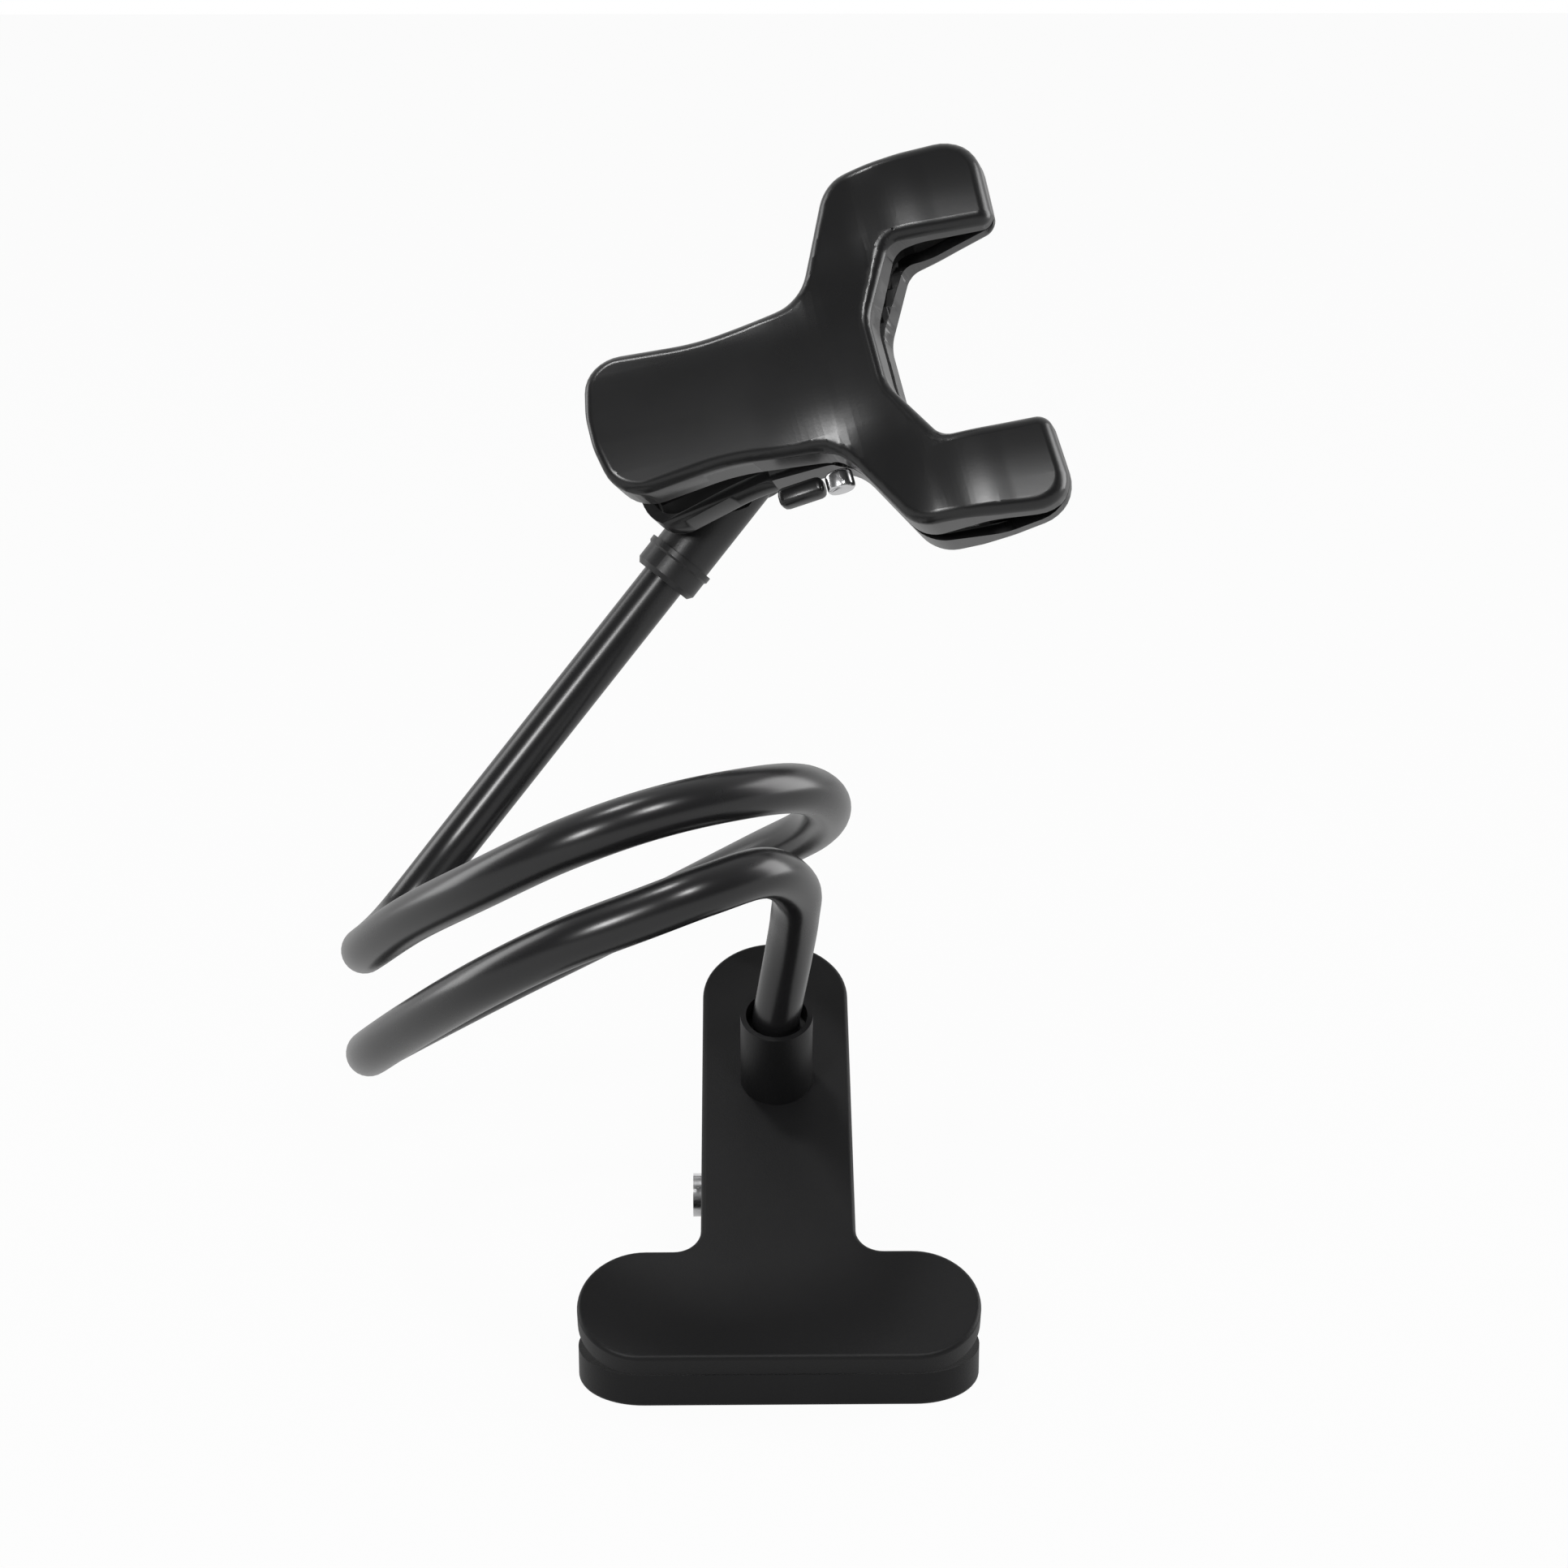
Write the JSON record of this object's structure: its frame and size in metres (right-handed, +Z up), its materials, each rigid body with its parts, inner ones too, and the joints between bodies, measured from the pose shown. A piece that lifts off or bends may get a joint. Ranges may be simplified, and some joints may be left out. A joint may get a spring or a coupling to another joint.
{
  "type": "phone holder",
  "caption": "Spring clamp base, bendable arm bent into two loose loops, and a two-jaw phone clip that turns on a swivel at the arm's end.",
  "frame": {"origin": "on the resting surface, directly below the clamp's hinge pin", "axes": "+X to the right along the hinge pin, +Y back along the clamp's handles, +Z up"},
  "size_m": [0.1314, 0.1201, 0.1998],
  "materials": {
    "satin_black_shell": "satin moulded plastic",
    "gloss_black_shell": "glossy moulded plastic",
    "black_rubber": "soft matt rubber",
    "black_sheath": "smooth shiny plastic sleeve",
    "bendable_core": "bare drawn rod",
    "spring_steel": "bright spring wire",
    "bright_steel": "bright zinc plate",
    "cap_steel": "stamped sheet steel"
  },
  "bodies": {
    "base_lower": {"base_lower_half": "satin_black_shell", "base_lower_pad": "black_rubber", "base_pin": "bright_steel", "base_pin_retainer": "cap_steel", "base_spring": "spring_steel"},
    "base_upper": {"base_upper_half": "satin_black_shell", "base_upper_pad": "black_rubber", "arm_foot_ferrule": "satin_black_shell", "arm_foot_screw": "bright_steel", "arm_sheath": "black_sheath", "arm_core": "bendable_core", "arm_top_ferrule": "satin_black_shell"},
    "sleeve": {"swivel_sleeve": "satin_black_shell"},
    "collar": {"collar_nut": "satin_black_shell"},
    "far_jaw": {"far_jaw": "gloss_black_shell", "far_upper_pad": "black_rubber", "far_lower_pad": "black_rubber", "swivel_screw": "bright_steel", "swivel_washer": "bright_steel", "swivel_nut": "bright_steel", "clip_pin": "bright_steel", "clip_pin_retainer": "cap_steel", "clip_spring": "spring_steel"},
    "near_jaw": {"near_jaw": "gloss_black_shell", "near_upper_pad": "black_rubber", "near_lower_pad": "black_rubber"}
  },
  "joints": [
    {"name": "base_hinge", "type": "hinge", "parent": "base_lower", "child": "base_upper", "pos_m": [0, 0, 0.0195], "axis": [-1, 0, 0], "range_deg": [0, 35], "stiffness_Nm_per_rad": 2, "springref_deg": -11.46, "deforming": ["base_spring"]},
    {"name": "sleeve_turn", "type": "hinge", "parent": "base_upper", "child": "sleeve", "pos_m": [-0.0032, 0.07036, 0.1383], "axis": [0.6235, 0.2146, 0.7518], "continuous": true},
    {"name": "collar_turn", "type": "hinge", "parent": "sleeve", "child": "collar", "pos_m": [-0.0032, 0.07036, 0.1383], "axis": [0.6235, 0.2146, 0.7518], "continuous": true},
    {"name": "clip_swivel", "type": "hinge", "parent": "sleeve", "child": "far_jaw", "pos_m": [-0.0032, 0.07036, 0.1383], "axis": [-0.2782, -0.8378, 0.4698], "continuous": true},
    {"name": "clip_hinge", "type": "hinge", "parent": "far_jaw", "child": "near_jaw", "pos_m": [0.00858, 0.04705, 0.15692], "axis": [0.2312, -0.5332, -0.8138], "range_deg": [0, 20], "stiffness_Nm_per_rad": 0.6, "springref_deg": -17.19, "deforming": ["clip_spring"]}
  ]
}
